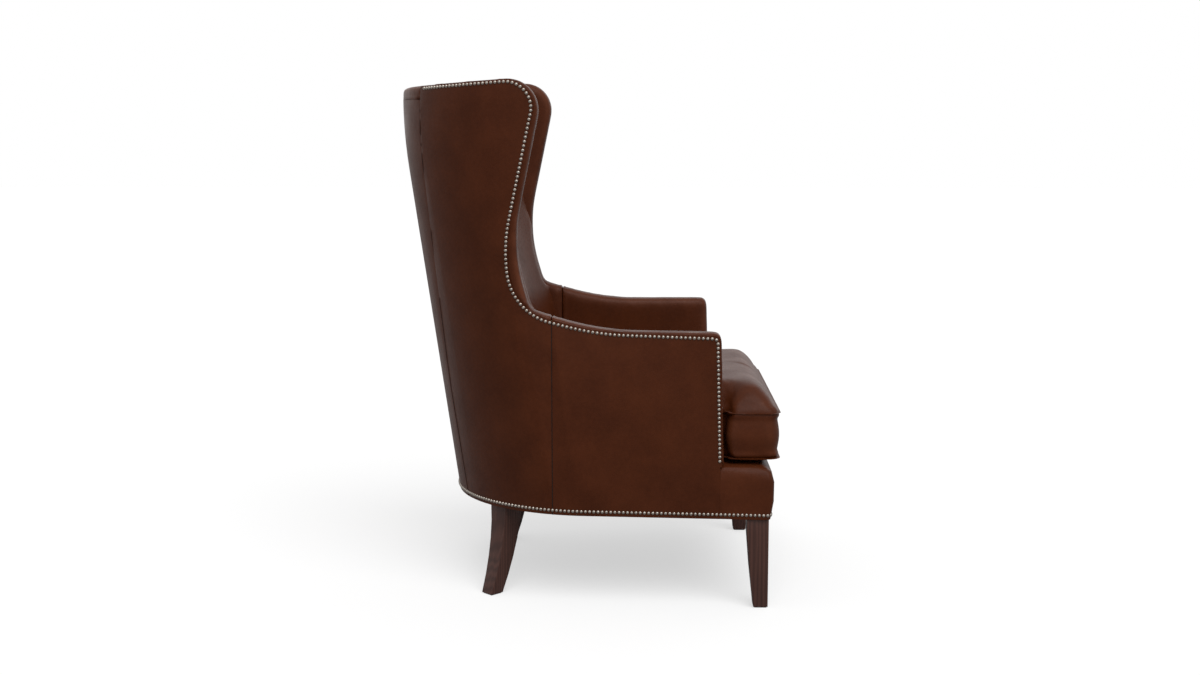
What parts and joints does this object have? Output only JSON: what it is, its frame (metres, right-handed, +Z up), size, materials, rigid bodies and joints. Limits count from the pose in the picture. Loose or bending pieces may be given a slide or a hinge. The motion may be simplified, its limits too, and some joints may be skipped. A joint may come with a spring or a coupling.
{
  "type": "wingback armchair",
  "caption": "High wingback armchair with a curved barrel back, low arms flowing into the wings, nailed leather covers, a loose T-shaped seat cushion and tapered wooden legs.",
  "frame": {"origin": "on the floor, under the middle of the chair's width and depth", "axes": "+Z up, the front of the chair faces -Y, +X is the sitter's left"},
  "size_m": [0.7359, 0.888, 1.1912],
  "materials": {
    "leather": "semi-gloss aniline look",
    "dark_wood": "satin espresso stain",
    "frame_wood": "raw sawn hardwood",
    "fibreboard": "raw hardboard",
    "padding": "foam wrapped in wadding",
    "cushion_fill": "foam wrapped in fibre",
    "webbing": "woven elastic",
    "black_cloth": "matt cambric",
    "zip_tape": "matt tape",
    "zinc_steel": "zinc plated",
    "nickel_nails": "antique nickel",
    "nylon": "moulded"
  },
  "bodies": {
    "chair": {"arm_front_post_left": "frame_wood", "arm_front_post_right": "frame_wood", "arm_pad_left": "padding", "arm_pad_right": "padding", "arm_rail_left": "frame_wood", "arm_rail_right": "frame_wood", "back_pad": "padding", "back_post_left": "frame_wood", "back_post_right": "frame_wood", "back_rail": "frame_wood", "back_rib_left": "frame_wood", "back_rib_right": "frame_wood", "back_webbing": "webbing", "corner_blocks": "frame_wood", "deck_cloth": "black_cloth", "deck_pad": "padding", "dust_cover": "black_cloth", "front_border_pad": "padding", "front_leg_left": "dark_wood", "front_leg_right": "dark_wood", "front_rail": "frame_wood", "front_rail_cover": "leather", "glides": "nylon", "inside_arm_cover_left": "leather", "inside_arm_cover_right": "leather", "inside_back_cover": "leather", "inside_wing_cover_left": "leather", "inside_wing_cover_right": "leather", "leg_bolts": "zinc_steel", "lower_back_rail": "frame_wood", "nail_trim": "nickel_nails", "outside_arm_board_left": "fibreboard", "outside_arm_board_right": "fibreboard", "outside_arm_cover_left": "leather", "outside_arm_cover_right": "leather", "outside_back_board": "fibreboard", "outside_back_cover": "leather", "outside_wing_board_left": "fibreboard", "outside_wing_board_right": "fibreboard", "outside_wing_cover_left": "leather", "outside_wing_cover_right": "leather", "rear_leg_left": "dark_wood", "rear_leg_right": "dark_wood", "seat_webbing": "webbing", "side_rail_left": "frame_wood", "side_rail_right": "frame_wood", "top_back_rail": "frame_wood", "upper_back_rail": "frame_wood", "wing_pad_left": "padding", "wing_pad_right": "padding", "wing_post_left": "frame_wood", "wing_post_right": "frame_wood", "wing_top_rail_left": "frame_wood", "wing_top_rail_right": "frame_wood"},
    "seat_cushion": {"cushion_bottom_panel": "leather", "cushion_boxing": "leather", "cushion_core": "cushion_fill", "cushion_top_panel": "leather", "cushion_welts": "leather", "cushion_zipper": "zip_tape"}
  },
  "joints": [
    {"name": "cushion_lift", "type": "slide", "parent": "chair", "child": "seat_cushion", "axis": [0, 0, 1], "range_m": [0, 0.25]}
  ]
}
